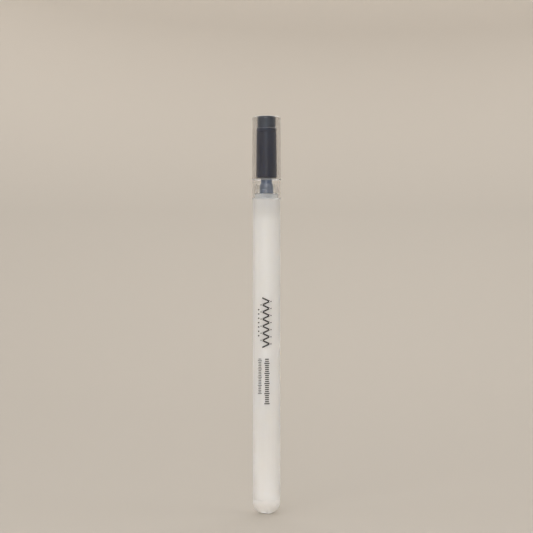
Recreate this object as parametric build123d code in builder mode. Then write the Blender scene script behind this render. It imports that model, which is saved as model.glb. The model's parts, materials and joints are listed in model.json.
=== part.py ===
from build123d import *
import os

os.makedirs("parts", exist_ok=True)

# Fabric marking pen, capped, standing on its domed rear end.
# Millimetres. The pen axis is +Z, the origin is the lowest point of the rear
# dome, and the capped tip points up: rear is down, front is up.
#
# Every XZ outline lists (radius, z) points and is revolved about Z. Small bare
# offsets in an outline break an edge or shape a short lead-in.
# _R is a radius, _Z a height above the origin, _H a height, _W a width.

# ---------------------------------------------------------------- dimensions
PRESS = 0.02                # radial overlap of pressed parts
PEN_LENGTH = 143.5          # rear dome to cap top
SEAM_Z = 5.2                # rear plug head meets the barrel

# barrel tube
BARREL_TOP_Z = 113.6
BARREL_R = 5.0
BARREL_BORE_R = 4.0
BARREL_EDGE = 0.15

# ink tube, ink and follower
TUBE_R = 2.7
TUBE_BORE_R = 2.3
INK_R = TUBE_BORE_R - 0.02
INK_BOTTOM_Z = 38.3
INK_TOP_Z = 108.2
INK_GAP = 0.02              # between follower and ink
FOLLOWER_BOTTOM_Z = INK_BOTTOM_Z - 6.0
FOLLOWER_CUP_H = 0.9        # cup depth on the axis
FOLLOWER_CUP_MID = (INK_R * 0.62, FOLLOWER_BOTTOM_Z + 0.55)

# beads round a surface: each outline starts this far inside the surface
BEAD_ROOT = 0.2
SPIGOT_BEAD_R = BARREL_BORE_R + PRESS

# rear plug
PLUG_HEAD_R = 4.95
PLUG_HEAD_BEVEL = 0.12
PLUG_DOME_H = 4.2           # height of the elliptical dome
PLUG_FLAT_R = 0.8           # small flat at its lowest point
PLUG_SPIGOT_R = 3.88
PLUG_SPIGOT_TOP_Z = 16.4
PLUG_BEAD_BOTTOM_Z = 7.4    # lowest bead
PLUG_BEAD_PITCH = 2.8
PLUG_SOCKET_R = TUBE_R + 0.03
PLUG_LEDGE_Z = 13.0         # ledge the ink tube stands on
PLUG_CAVITY_R = 2.1
PLUG_CAVITY_Z = 3.6
PLUG_VENT_R = 0.5
PLUG_VENT_OVERRUN = 1       # cut past each end of the vent
PLUG_SLOT_W = 0.9
PLUG_SLOT_REACH_R = PLUG_SOCKET_R + 0.45
PLUG_SLOT_Z = PLUG_LEDGE_Z - 1.2
PLUG_SLOT_OVERRUN = 0.8     # cut past the spigot top
PLUG_SLOT_LINES = 2         # each crosses the axis and makes two slots

# front bush: spigot in the barrel, neck for the cap
BUSH_SPIGOT_R = 3.9
BUSH_BOTTOM_Z = 105.0
BUSH_BEAD_BOTTOM_Z = 107.2  # lowest bead
BUSH_BEAD_PITCH = 2.4
BUSH_FLOOR_Z = 115.3        # floor of the recess round the tip holder
BUSH_TUBE_BORE_R = TUBE_R + 0.02
BUSH_STEP_Z = 112.0         # ink tube butts here
BUSH_STEM_BORE_R = 2.26
NECK_R = 4.28
NECK_BEAD_R = 4.38          # click bead for the cap
NECK_BEAD_Z = 116.6
NECK_TOP_Z = 118.9
NECK_RECESS_R = 3.45

# tip holder
STEM_BOTTOM_Z = 108.4
STEM_R = BUSH_STEM_BORE_R + PRESS
STEM_TUBE_R = 2.27          # part of the stem below the bush step
HOLDER_BASE_R = 2.48
HOLDER_WAIST_R = 1.98
HOLDER_WAIST_Z = 119.9
HOLDER_TAPER_BOTTOM_Z = 124.6
HOLDER_TAPER_TOP_Z = 125.4
HOLDER_TOP_Z = 128.0
HOLDER_TOP_R = 1.72
HOLDER_FEED_R = 0.9

# metal point and ball
POINT_R = 1.15
POINT_BOTTOM_Z = 121.5
POINT_GROOVE_Z = HOLDER_TOP_Z + 0.5
POINT_GROOVE_H = 0.57
POINT_GROOVE_D = 0.1
POINT_GROOVE_BEVEL = 0.12   # height of each sloping side
POINT_CONE_Z = 131.2
POINT_TOP_Z = 134.66
POINT_LIP_R = 0.64
POINT_BORE_R = 0.8
POINT_BORE_TOP_Z = 131.4
POINT_CRIMP_R = 0.45        # rear crimp that keeps the spring in
POINT_CRIMP_Z = POINT_BOTTOM_Z + 0.6
BALL_R = 0.5
BALL_Z = 134.45
BALL_GAP = 0.04
CHANNEL_R = 0.3
CHANNEL_BOTTOM_Z = POINT_BORE_TOP_Z - 0.3
CHANNEL_TOP_Z = BALL_Z - 0.42
CHANNEL_GROOVE_SIZE = (0.22, 0.14)  # radial, across
CHANNEL_GROOVE_COUNT = 5

# tip spring
SPRING_COIL_R = 0.58
SPRING_WIRE_R = 0.09
SPRING_BOTTOM_Z = POINT_CRIMP_Z + 0.1
SPRING_COIL_H = 7.2
SPRING_TURNS = 12
SPRING_TOP_Z = SPRING_BOTTOM_Z + SPRING_COIL_H
SPRING_LEAD_H = 1.25        # rise from the last turn to the axis
SPRING_LEAD_MID = (0.16, 0.2, SPRING_TOP_Z + 0.62)
SPRING_BALL_GAP = 0.005

# cap shell
RIM_Z = BARREL_TOP_Z + 0.05
RIM_BEVEL = 0.18
SHELL_R_RIM = 5.25
SHELL_R_TOP = 5.12
SHELL_TOP_RADIUS = 1.3
SKIRT_BORE_R = 4.44
SKIRT_STEP_Z = 120.6
SKIRT_STEP_H = 0.12
SHELL_BORE_LOW_R = 3.86
SHELL_BORE_HIGH_R = 3.72
SHELL_FLANGE_Z = 139.3      # underside of the top flange
SHELL_HOLE_R = 3.30

# inner cap and seal pad
INNER_GAP = 0.14            # radial gap inside the shell bore
INNER_BOTTOM_Z = 121.3
INNER_LOW_R = SHELL_BORE_LOW_R - INNER_GAP
INNER_HIGH_R = SHELL_BORE_HIGH_R - INNER_GAP
INNER_SHOULDER_R = 3.54
INNER_HEAD_R = SHELL_HOLE_R + PRESS
INNER_GROOVE_Z = 137.75
INNER_GROOVE_R = INNER_HIGH_R - 0.14
INNER_BORE_R = 2.3
INNER_BORE_TOP_Z = 137.0
RIB_R = 2.02                # inner face of the grip ribs
RIB_ROOT = 0.2              # rib overlap into the bore wall
RIB_W = 0.8
RIB_COUNT = 6
RIB_BOTTOM_Z = INNER_BOTTOM_Z + 0.55
RIB_TOP_Z = 126.5
FUNNEL_BOTTOM_Z = INNER_BOTTOM_Z + 0.5
FUNNEL_TOP_Z = INNER_BOTTOM_Z + 1.2
PAD_BOTTOM_Z = 135.02
PAD_R = INNER_BORE_R + PRESS
PAD_BEVEL = 0.2
PAD_DISH_R = 2.05
PAD_DISH_D = 0.15


def bead_outline(surface_r, crest_r, z, half_foot, half_crest):
    """(radius, z) points of a bead centred on z, open at its root."""
    root_r = surface_r - BEAD_ROOT
    return [
        (root_r, z - half_foot),
        (surface_r, z - half_foot),
        (crest_r, z - half_crest),
        (crest_r, z + half_crest),
        (surface_r, z + half_foot),
        (root_r, z + half_foot),
    ]


# --------------------------------------------------------------------- barrel
# Plain milky tube, open at both ends, with the outer and inner edges broken.
with BuildPart() as barrel:
    with BuildSketch(Plane.XY.offset(SEAM_Z)):
        Circle(BARREL_R)
        Circle(BARREL_BORE_R, mode=Mode.SUBTRACT)
    extrude(amount=BARREL_TOP_Z - SEAM_Z)
    chamfer(barrel.edges().filter_by(GeomType.CIRCLE), length=BARREL_EDGE)

# ------------------------------------------------------------------ rear plug
# Domed head, beaded spigot, a socket for the ink tube, an air cavity and a
# vent so that air can follow the ink.
with BuildPart() as rear_plug:
    with BuildSketch(Plane.XZ):
        with BuildLine():
            dome = EllipticalCenterArc(
                (PLUG_FLAT_R, PLUG_DOME_H),
                PLUG_HEAD_R - PLUG_FLAT_R,
                PLUG_DOME_H,
                start_angle=270,
                arc_size=90,
            )
            Polyline(
                dome @ 1,
                (PLUG_HEAD_R, SEAM_Z - PLUG_HEAD_BEVEL),
                (PLUG_HEAD_R - PLUG_HEAD_BEVEL, SEAM_Z),
                (PLUG_SPIGOT_R, SEAM_Z),
                (PLUG_SPIGOT_R, PLUG_SPIGOT_TOP_Z - 0.6),
                (PLUG_SPIGOT_R - 0.4, PLUG_SPIGOT_TOP_Z),
                (PLUG_SOCKET_R + 0.25, PLUG_SPIGOT_TOP_Z),
                (PLUG_SOCKET_R, PLUG_SPIGOT_TOP_Z - 0.35),
                (PLUG_SOCKET_R, PLUG_LEDGE_Z),
                (PLUG_CAVITY_R, PLUG_LEDGE_Z),
                (PLUG_CAVITY_R, PLUG_CAVITY_Z),
                (0, PLUG_CAVITY_Z),
                (0, 0),
                dome @ 0,
            )
        make_face()
    revolve(axis=Axis.Z)
    # sealing beads round the spigot
    for i in range(3):
        bead_z = PLUG_BEAD_BOTTOM_Z + i * PLUG_BEAD_PITCH
        bead = bead_outline(PLUG_SPIGOT_R, SPIGOT_BEAD_R, bead_z, half_foot=0.45, half_crest=0.15)
        with BuildSketch(Plane.XZ):
            with BuildLine():
                Polyline(*bead, close=True)
            make_face()
        revolve(axis=Axis.Z)
    # vent through the middle of the dome
    with BuildSketch(Plane.XY.offset(-PLUG_VENT_OVERRUN)):
        Circle(PLUG_VENT_R)
    extrude(amount=PLUG_CAVITY_Z + 2 * PLUG_VENT_OVERRUN, mode=Mode.SUBTRACT)
    # air slots across the socket mouth, so the tube end can't seal itself
    with BuildSketch(Plane.XY.offset(PLUG_SLOT_Z)):
        with PolarLocations(0, PLUG_SLOT_LINES):
            Rectangle(2 * PLUG_SLOT_REACH_R, PLUG_SLOT_W)
    extrude(amount=PLUG_SPIGOT_TOP_Z + PLUG_SLOT_OVERRUN - PLUG_SLOT_Z, mode=Mode.SUBTRACT)

# ----------------------------------------------------------------- front bush
# Clear bush pressed into the front of the barrel. Its neck stands proud and
# takes the cap, its step stops the ink tube and its bore holds the tip holder.
with BuildPart() as front_bush:
    with BuildSketch(Plane.XZ):
        with BuildLine():
            Polyline(
                (BUSH_TUBE_BORE_R + 0.3, BUSH_BOTTOM_Z),
                (BUSH_SPIGOT_R - 0.35, BUSH_BOTTOM_Z),
                (BUSH_SPIGOT_R, BUSH_BOTTOM_Z + 0.6),
                (BUSH_SPIGOT_R, BARREL_TOP_Z),
                (NECK_R, BARREL_TOP_Z),
                (NECK_R, NECK_TOP_Z - 0.3),
                (NECK_R - 0.12, NECK_TOP_Z - 0.09),
                (NECK_R - 0.32, NECK_TOP_Z),
                (NECK_RECESS_R + 0.2, NECK_TOP_Z),
                (NECK_RECESS_R, NECK_TOP_Z - 0.25),
                (NECK_RECESS_R - 0.1, BUSH_FLOOR_Z + 0.35),
                (NECK_RECESS_R - 0.4, BUSH_FLOOR_Z),
                (BUSH_STEM_BORE_R, BUSH_FLOOR_Z),
                (BUSH_STEM_BORE_R, BUSH_STEP_Z),
                (BUSH_TUBE_BORE_R, BUSH_STEP_Z),
                (BUSH_TUBE_BORE_R, BUSH_BOTTOM_Z + 0.5),
                close=True,
            )
        make_face()
    revolve(axis=Axis.Z)
    # retaining beads round the spigot, then the click bead round the neck
    bush_beads = [
        bead_outline(
            BUSH_SPIGOT_R,
            SPIGOT_BEAD_R,
            BUSH_BEAD_BOTTOM_Z + i * BUSH_BEAD_PITCH,
            half_foot=0.4,
            half_crest=0.12,
        )
        for i in range(3)
    ]
    bush_beads.append(
        bead_outline(NECK_R, NECK_BEAD_R, NECK_BEAD_Z, half_foot=0.45, half_crest=0.12)
    )
    for bead in bush_beads:
        with BuildSketch(Plane.XZ):
            with BuildLine():
                Polyline(*bead, close=True)
            make_face()
        revolve(axis=Axis.Z)

# ------------------------------------------------------------------- ink tube
# From the plug's ledge to the bush's step.
with BuildPart() as ink_tube:
    with BuildSketch(Plane.XY.offset(PLUG_LEDGE_Z)):
        Circle(TUBE_R)
        Circle(TUBE_BORE_R, mode=Mode.SUBTRACT)
    extrude(amount=BUSH_STEP_Z - PLUG_LEDGE_Z)

# ------------------------------------------------------------------------ ink
# White ink column, from the follower to just below the tip holder's stem.
with BuildPart() as ink:
    with BuildSketch(Plane.XY.offset(INK_BOTTOM_Z + INK_GAP)):
        Circle(INK_R)
    extrude(amount=INK_TOP_Z - INK_BOTTOM_Z - INK_GAP)

# ------------------------------------------------------------------- follower
# Grease plug behind the ink, with the shallow cup its rear surface takes.
with BuildPart() as ink_follower:
    with BuildSketch(Plane.XZ):
        with BuildLine():
            cup = ThreePointArc(
                (0, FOLLOWER_BOTTOM_Z + FOLLOWER_CUP_H),
                FOLLOWER_CUP_MID,
                (INK_R, FOLLOWER_BOTTOM_Z),
            )
            Polyline(cup @ 1, (INK_R, INK_BOTTOM_Z), (0, INK_BOTTOM_Z), cup @ 0)
        make_face()
    revolve(axis=Axis.Z)

# ----------------------------------------------------------------- tip holder
# Tinted moulding between the ink tube and the metal point: a stem in the bush
# and tube, a flared foot on the bush floor, and a slim nose.
with BuildPart() as tip_holder:
    with BuildSketch(Plane.XZ):
        with BuildLine():
            flare = Spline(
                (HOLDER_BASE_R, BUSH_FLOOR_Z + 0.25),
                (HOLDER_BASE_R - 0.04, BUSH_FLOOR_Z + 2.5),
                (HOLDER_BASE_R - 0.24, BUSH_FLOOR_Z + 3.5),
                (HOLDER_WAIST_R, HOLDER_WAIST_Z),
                tangents=[(0, 1), (0, 1)],
            )
            Polyline(
                flare @ 1,
                (HOLDER_WAIST_R, HOLDER_TAPER_BOTTOM_Z),
                (HOLDER_TOP_R + 0.1, HOLDER_TAPER_TOP_Z),
                (HOLDER_TOP_R, HOLDER_TOP_Z - 0.5),
                (HOLDER_TOP_R - 0.35, HOLDER_TOP_Z),
                (POINT_R - PRESS, HOLDER_TOP_Z),
                (POINT_R - PRESS, POINT_BOTTOM_Z),
                (HOLDER_FEED_R, POINT_BOTTOM_Z),
                (HOLDER_FEED_R, STEM_BOTTOM_Z + 1.0),
                (HOLDER_FEED_R + 0.7, STEM_BOTTOM_Z),
                (STEM_TUBE_R - 0.25, STEM_BOTTOM_Z),
                (STEM_TUBE_R, STEM_BOTTOM_Z + 0.4),
                (STEM_TUBE_R, BUSH_STEP_Z),
                (STEM_R, BUSH_STEP_Z + 0.2),
                (STEM_R, BUSH_FLOOR_Z),
                (HOLDER_BASE_R - 0.15, BUSH_FLOOR_Z),
                flare @ 0,
            )
        make_face()
    revolve(axis=Axis.Z)

# ---------------------------------------------------------------- metal point
# Turned stainless point with a ball socket and a grooved ink channel.
with BuildPart() as point:
    groove_top_z = POINT_GROOVE_Z + POINT_GROOVE_H
    with BuildSketch(Plane.XZ):
        with BuildLine():
            Polyline(
                (POINT_CRIMP_R, POINT_BOTTOM_Z),
                (POINT_R - 0.12, POINT_BOTTOM_Z),
                (POINT_R, POINT_BOTTOM_Z + 0.2),
                (POINT_R, POINT_GROOVE_Z),
                (POINT_R - POINT_GROOVE_D, POINT_GROOVE_Z + POINT_GROOVE_BEVEL),
                (POINT_R - POINT_GROOVE_D, groove_top_z - POINT_GROOVE_BEVEL),
                (POINT_R, groove_top_z),
                (POINT_R, POINT_CONE_Z),
                (POINT_LIP_R + 0.1, POINT_TOP_Z - 0.62),
                (POINT_LIP_R, POINT_TOP_Z - 0.18),
                (POINT_LIP_R - 0.04, POINT_TOP_Z),
                (0, POINT_TOP_Z),
                (0, POINT_BORE_TOP_Z + 0.35),
                (POINT_BORE_R, POINT_BORE_TOP_Z - 0.2),
                (POINT_BORE_R, POINT_CRIMP_Z),
                (POINT_CRIMP_R, POINT_CRIMP_Z),
                close=True,
            )
        make_face()
    revolve(axis=Axis.Z)
    # ink channel from the bore up to the socket, grooves centred on its wall
    with BuildSketch(Plane.XY.offset(CHANNEL_BOTTOM_Z)):
        Circle(CHANNEL_R)
        with PolarLocations(CHANNEL_R, CHANNEL_GROOVE_COUNT):
            Rectangle(*CHANNEL_GROOVE_SIZE)
    extrude(amount=CHANNEL_TOP_Z - CHANNEL_BOTTOM_Z, mode=Mode.SUBTRACT)
    # ball socket, its lip closing past the ball's widest line
    with Locations((0, 0, BALL_Z)):
        Sphere(BALL_R + BALL_GAP, mode=Mode.SUBTRACT)

# ---------------------------------------------------------------- writing ball
with BuildPart() as writing_ball:
    with Locations((0, 0, BALL_Z)):
        Sphere(BALL_R)

# ------------------------------------------------------------------ tip spring
# Fine coil that stands on the crimp and holds the ball against the socket lip
# through its straight end.
with BuildPart() as tip_spring:
    with BuildLine():
        coil = Helix(
            pitch=SPRING_COIL_H / SPRING_TURNS,
            height=SPRING_COIL_H,
            radius=SPRING_COIL_R,
            center=(0, 0, SPRING_BOTTOM_Z),
        )
        lead = Spline(
            coil @ 1,
            SPRING_LEAD_MID,
            (0, 0, SPRING_TOP_Z + SPRING_LEAD_H),
            tangents=[coil % 1, (0, 0, 1)],
        )
        Line(lead @ 1, (0, 0, BALL_Z - BALL_R - SPRING_BALL_GAP))
    with BuildSketch(Plane(origin=coil @ 0, z_dir=coil % 0)):
        Circle(SPRING_WIRE_R)
    sweep(is_frenet=True)

# ------------------------------------------------------------------- cap shell
# Clear outer shell: an open skirt over the neck, a thicker wall round the inner
# cap and a flanged top with a hole that the inner cap's head fills.
with BuildPart() as cap_shell:
    with BuildSketch(Plane.XZ):
        with BuildLine():
            Polyline(
                (SKIRT_BORE_R + RIM_BEVEL, RIM_Z),
                (SHELL_R_RIM - RIM_BEVEL, RIM_Z),
                (SHELL_R_RIM, RIM_Z + RIM_BEVEL),
                (SHELL_R_TOP, PEN_LENGTH),
                (SHELL_HOLE_R, PEN_LENGTH),
                (SHELL_HOLE_R, SHELL_FLANGE_Z),
                (SHELL_BORE_HIGH_R, SHELL_FLANGE_Z),
                (SHELL_BORE_LOW_R, SKIRT_STEP_Z + SKIRT_STEP_H),
                (SKIRT_BORE_R, SKIRT_STEP_Z),
                (SKIRT_BORE_R, RIM_Z + 0.3),
                close=True,
            )
        make_face()
    revolve(axis=Axis.Z)
    top_outer_edge = (
        cap_shell.edges()
        .filter_by(GeomType.CIRCLE)
        .group_by(Axis.Z)[-1]
        .sort_by(SortBy.RADIUS)[-1]
    )
    fillet(top_outer_edge, radius=SHELL_TOP_RADIUS)

# ------------------------------------------------------------------- inner cap
# Dark inner cap: its head plugs the shell, a fine groove runs below the
# shoulder, and ribs in its mouth grip the tip holder.
with BuildPart() as inner_cap:
    with BuildSketch(Plane.XZ):
        with BuildLine():
            Polyline(
                (INNER_BORE_R + 0.3, INNER_BOTTOM_Z),
                (INNER_LOW_R - 0.2, INNER_BOTTOM_Z),
                (INNER_LOW_R, INNER_BOTTOM_Z + 0.25),
                (INNER_HIGH_R, INNER_GROOVE_Z - 0.3),
                (INNER_GROOVE_R, INNER_GROOVE_Z - 0.15),
                (INNER_GROOVE_R, INNER_GROOVE_Z + 0.15),
                (INNER_HIGH_R, INNER_GROOVE_Z + 0.3),
                (INNER_SHOULDER_R, SHELL_FLANGE_Z - 0.25),
                (INNER_SHOULDER_R - 0.14, SHELL_FLANGE_Z),
                (INNER_HEAD_R, SHELL_FLANGE_Z),
                (INNER_HEAD_R, PEN_LENGTH - 0.3),
                (INNER_HEAD_R - 0.3, PEN_LENGTH),
                (0, PEN_LENGTH),
                (0, INNER_BORE_TOP_Z),
                (INNER_BORE_R, INNER_BORE_TOP_Z),
                (INNER_BORE_R, INNER_BOTTOM_Z + 0.4),
                close=True,
            )
        make_face()
    revolve(axis=Axis.Z)
    # grip ribs in the mouth, each rectangle making an opposite pair
    with BuildSketch(Plane.XY.offset(RIB_BOTTOM_Z)):
        with PolarLocations(0, RIB_COUNT // 2):
            Rectangle(2 * (INNER_BORE_R + RIB_ROOT), RIB_W)
        Circle(RIB_R, mode=Mode.SUBTRACT)
    extrude(amount=RIB_TOP_Z - RIB_BOTTOM_Z)
    # their lower ends open like a funnel
    with BuildSketch(Plane.XZ):
        with BuildLine():
            Polyline(
                (0, FUNNEL_BOTTOM_Z),
                (INNER_BORE_R, FUNNEL_BOTTOM_Z),
                (INNER_BORE_R, FUNNEL_BOTTOM_Z + 0.1),
                (RIB_R, FUNNEL_TOP_Z),
                (0, FUNNEL_TOP_Z),
                close=True,
            )
        make_face()
    revolve(axis=Axis.Z, mode=Mode.SUBTRACT)

# -------------------------------------------------------------------- tip seal
# Soft pad at the head of the inner cap's bore, dished where the ball meets it.
with BuildPart() as tip_seal:
    with BuildSketch(Plane.XY.offset(PAD_BOTTOM_Z)):
        Circle(PAD_R)
    extrude(amount=INNER_BORE_TOP_Z - PAD_BOTTOM_Z)
    chamfer(tip_seal.edges().group_by(Axis.Z)[0], length=PAD_BEVEL)
    with Locations((0, 0, PAD_BOTTOM_Z + PAD_DISH_D - PAD_DISH_R)):
        Sphere(PAD_DISH_R, mode=Mode.SUBTRACT)

# ---------------------------------------------------------------------- export
nodes = {
    "barrel": barrel,
    "rear_plug": rear_plug,
    "front_bush": front_bush,
    "ink_tube": ink_tube,
    "ink": ink,
    "ink_follower": ink_follower,
    "tip_holder": tip_holder,
    "point": point,
    "writing_ball": writing_ball,
    "tip_spring": tip_spring,
    "cap_shell": cap_shell,
    "inner_cap": inner_cap,
    "tip_seal": tip_seal,
}
for name, builder in nodes.items():
    builder.part.label = name
    export_step(builder.part, f"parts/{name}.step")
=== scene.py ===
"""A capped pen with white ink, standing upright on its rear plug.

The pen's axis is +Z through the origin: the rear plug is lowest, the writing tip and the
cap are highest. The print on the barrel faces the camera, on the -Y side.
"""
import json
import math

import bpy
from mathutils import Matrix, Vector


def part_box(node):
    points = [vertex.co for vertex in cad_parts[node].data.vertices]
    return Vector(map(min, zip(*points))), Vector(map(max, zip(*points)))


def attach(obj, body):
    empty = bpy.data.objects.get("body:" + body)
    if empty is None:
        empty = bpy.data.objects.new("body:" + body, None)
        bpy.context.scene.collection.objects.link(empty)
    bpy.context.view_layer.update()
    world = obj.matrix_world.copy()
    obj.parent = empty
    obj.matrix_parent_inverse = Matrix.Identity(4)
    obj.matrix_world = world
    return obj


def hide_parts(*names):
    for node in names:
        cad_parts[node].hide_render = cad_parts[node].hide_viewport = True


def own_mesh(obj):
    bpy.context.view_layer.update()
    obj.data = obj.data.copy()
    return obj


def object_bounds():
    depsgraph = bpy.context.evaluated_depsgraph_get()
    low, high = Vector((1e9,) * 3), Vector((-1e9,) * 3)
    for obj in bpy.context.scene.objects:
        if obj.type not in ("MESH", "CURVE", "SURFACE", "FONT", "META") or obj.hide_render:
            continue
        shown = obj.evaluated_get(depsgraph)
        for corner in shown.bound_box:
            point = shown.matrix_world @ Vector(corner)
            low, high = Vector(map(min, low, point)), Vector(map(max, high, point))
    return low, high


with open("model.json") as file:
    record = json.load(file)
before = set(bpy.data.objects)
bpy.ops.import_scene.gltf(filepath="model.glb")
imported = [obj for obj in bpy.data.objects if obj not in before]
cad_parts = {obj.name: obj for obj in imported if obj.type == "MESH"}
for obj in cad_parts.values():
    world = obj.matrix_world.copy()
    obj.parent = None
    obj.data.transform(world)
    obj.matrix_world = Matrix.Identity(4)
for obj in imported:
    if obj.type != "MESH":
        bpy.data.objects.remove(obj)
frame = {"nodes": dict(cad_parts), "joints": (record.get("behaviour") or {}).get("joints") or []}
CAD_LO, CAD_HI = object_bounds()

# Sizes of the pen are in millimetres, sizes of the stage in metres.
MM = 0.001
BOX = {n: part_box(n) for n in frame["nodes"]}


def low(node):
    """Lowest z of a CAD node."""
    return BOX[node][0].z / MM


def high(node):
    """Highest z of a CAD node."""
    return BOX[node][1].z / MM


def wide(node):
    """Largest radius of a CAD node about the pen's axis."""
    return max(-BOX[node][0].y, BOX[node][1].y) / MM


def joint_travel(name):
    """Longest travel of a joint, in metres."""
    joint = next(j for j in frame["joints"] if j["name"] == name)
    return max(abs(v) for v in joint["range_m"])


NECK_FLOOR = high("front_bush") - 3.6  # floor of the recess in the top of the neck

# ------------------------------------------------------------------ mesh tools
# A profile table lists (radius, z) or (radius, z, fillet). A chain is the plain
# (radius, z) run made from it.
SAME_POINT = 1e-4
ON_AXIS = 1e-7


def gap(a, b):
    return math.hypot(b[0] - a[0], b[1] - a[1])


def unit(a, b):
    """The direction from a to b."""
    length = gap(a, b)
    return ((b[0] - a[0]) / length, (b[1] - a[1]) / length)


def arc(centre, radius, start, turn, steps):
    angles = [start + turn * k / steps for k in range(steps + 1)]
    return [
        (centre[0] + radius * math.cos(t), centre[1] + radius * math.sin(t)) for t in angles
    ]


def rounded(profile, steps=5, closed=True):
    """The chain of a profile table, with each fillet cut into steps."""
    out = []
    count = len(profile)
    for i, p in enumerate(profile):
        fillet = p[2] if len(p) > 2 else 0.0
        if fillet <= 0 or (not closed and i in (0, count - 1)):
            out.append((p[0], p[1]))
            continue
        a, b = profile[i - 1], profile[(i + 1) % count]
        to_a, to_b = unit(p, a), unit(p, b)
        cosine = max(-1.0, min(1.0, to_a[0] * to_b[0] + to_a[1] * to_b[1]))
        half = math.acos(cosine) / 2
        if half > math.pi / 2 - 0.02:  # almost straight
            out.append((p[0], p[1]))
            continue
        # a fillet takes just under half of each side at most
        back = min(fillet / math.tan(half), 0.48 * gap(p, a), 0.48 * gap(p, b))
        radius = back * math.tan(half)
        middle = (to_a[0] + to_b[0], to_a[1] + to_b[1])
        middle_length = math.hypot(*middle)
        reach = radius / math.sin(half)
        centre = (
            p[0] + middle[0] / middle_length * reach,
            p[1] + middle[1] / middle_length * reach,
        )
        start = (p[0] + to_a[0] * back, p[1] + to_a[1] * back)
        end = (p[0] + to_b[0] * back, p[1] + to_b[1] * back)
        first = math.atan2(start[1] - centre[1], start[0] - centre[0])
        last = math.atan2(end[1] - centre[1], end[0] - centre[0])
        turn = (last - first + math.pi) % (2 * math.pi) - math.pi
        out += arc(centre, radius, first, turn, steps)
    return out


def tidy(chain):
    """The chain without points that sit on top of the one before."""
    out = []
    for p in chain:
        if not out or gap(out[-1], p) > SAME_POINT:
            out.append(p)
    return out


def double_area(chain):
    """Twice the signed area inside the chain, positive when anticlockwise."""
    following = chain[1:] + chain[:1]
    return sum(a[0] * b[1] - b[0] * a[1] for a, b in zip(chain, following))


def smooth_mesh(name, verts, faces):
    mesh = bpy.data.meshes.new(name)
    mesh.from_pydata(verts, [], faces)
    mesh.polygons.foreach_set("use_smooth", [True] * len(mesh.polygons))
    mesh.update()
    return mesh


def lathe(name, chain, segments=96, closed=True, crease=38.0):
    """A closed turned mesh with normals that follow the true profile. The chain is a
    closed loop, or an open run whose ends are both on the axis."""
    chain = tidy(chain)
    if closed and gap(chain[0], chain[-1]) < SAME_POINT:
        chain = chain[:-1]
    if double_area(chain) < 0:
        chain = chain[::-1]
    verts, rings = [], []
    for r, z in chain:
        if r < ON_AXIS:
            rings.append([len(verts)])
            verts.append((0.0, 0.0, z * MM))
        else:
            rings.append(list(range(len(verts), len(verts) + segments)))
            for j in range(segments):
                t = 2 * math.pi * j / segments
                verts.append((r * math.cos(t) * MM, r * math.sin(t) * MM, z * MM))
    count = len(chain)
    edges = [(i, (i + 1) % count) for i in range(count if closed else count - 1)]
    flat, lengths = [], []
    for i, k in edges:
        along = unit(chain[i], chain[k])
        flat.append((along[1], -along[0]))
        lengths.append(gap(chain[i], chain[k]))

    def corner(edge, step):
        """The normal at an edge's start (step -1) or end (step 1), smoothed with the
        next edge there unless the corner is sharper than the crease angle."""
        other = edge + step
        mine = flat[edge]
        if closed:
            other %= len(edges)
        elif not 0 <= other < len(edges):
            return (0.0, mine[1])
        theirs = flat[other]
        if mine[0] * theirs[0] + mine[1] * theirs[1] < math.cos(math.radians(crease)):
            return mine
        x = mine[0] * lengths[edge] + theirs[0] * lengths[other]
        y = mine[1] * lengths[edge] + theirs[1] * lengths[other]
        length = math.hypot(x, y)
        return (x / length, y / length)

    faces, normals = [], []
    for edge, (i, k) in enumerate(edges):
        a, b = rings[i], rings[k]
        at_a, at_b = corner(edge, -1), corner(edge, 1)
        for j in range(segments):
            j2 = (j + 1) % segments
            t, t2 = 2 * math.pi * j / segments, 2 * math.pi * (j + 1) / segments
            if len(a) == 1:
                faces.append((a[0], b[j2], b[j]))
                row = [(at_a, (t + t2) / 2), (at_b, t2), (at_b, t)]
            elif len(b) == 1:
                faces.append((a[j], a[j2], b[0]))
                row = [(at_a, t), (at_a, t2), (at_b, (t + t2) / 2)]
            else:
                faces.append((a[j], a[j2], b[j2], b[j]))
                row = [(at_a, t), (at_a, t2), (at_b, t2), (at_b, t)]
            for m, angle in row:
                normals.append((m[0] * math.cos(angle), m[0] * math.sin(angle), m[1]))
    mesh = smooth_mesh(name, verts, faces)
    mesh.normals_split_custom_set(normals)
    return mesh


def sector_angles(sectors, half_angle, segments):
    """Evenly spread angles, with a close pair either side of each sector edge."""
    full = 2 * math.pi
    pair_half, clearance = 0.0012, 0.012
    near = []
    for q in range(sectors):
        for side in (-1, 1):
            edge = (full * q / sectors + side * half_angle) % full
            near += [edge - pair_half, edge + pair_half]
    even = [full * j / segments for j in range(segments)]
    even = [
        a for a in even
        if all(abs((a - b + math.pi) % full - math.pi) > clearance for b in near)
    ]
    return sorted(a % full for a in even + near)


def sectored_lathe(name, plain, special, sectors, half_angle, segments=112, crease=32.0):
    """A closed turned mesh with the special chain in evenly spaced sectors and the plain
    chain between them. Both have the same number of points."""
    pitch = 2 * math.pi / sectors
    angles = sector_angles(sectors, half_angle, segments)
    rows = []
    for t in angles:
        off = (t + pitch / 2) % pitch - pitch / 2
        rows.append(special if abs(off) < half_angle else plain)
    if double_area(rows[0]) < 0:
        rows = [row[::-1] for row in rows]
    verts = [
        (r * math.cos(t) * MM, r * math.sin(t) * MM, z * MM)
        for t, row in zip(angles, rows)
        for r, z in row
    ]
    n, count = len(plain), len(angles)
    faces = []
    for j in range(count):
        j2 = (j + 1) % count
        for i in range(n):
            k = (i + 1) % n
            faces.append((j * n + i, j2 * n + i, j2 * n + k, j * n + k))
    mesh = smooth_mesh(name, verts, faces)
    mesh.set_sharp_from_angle(angle=math.radians(crease))
    return mesh


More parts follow.
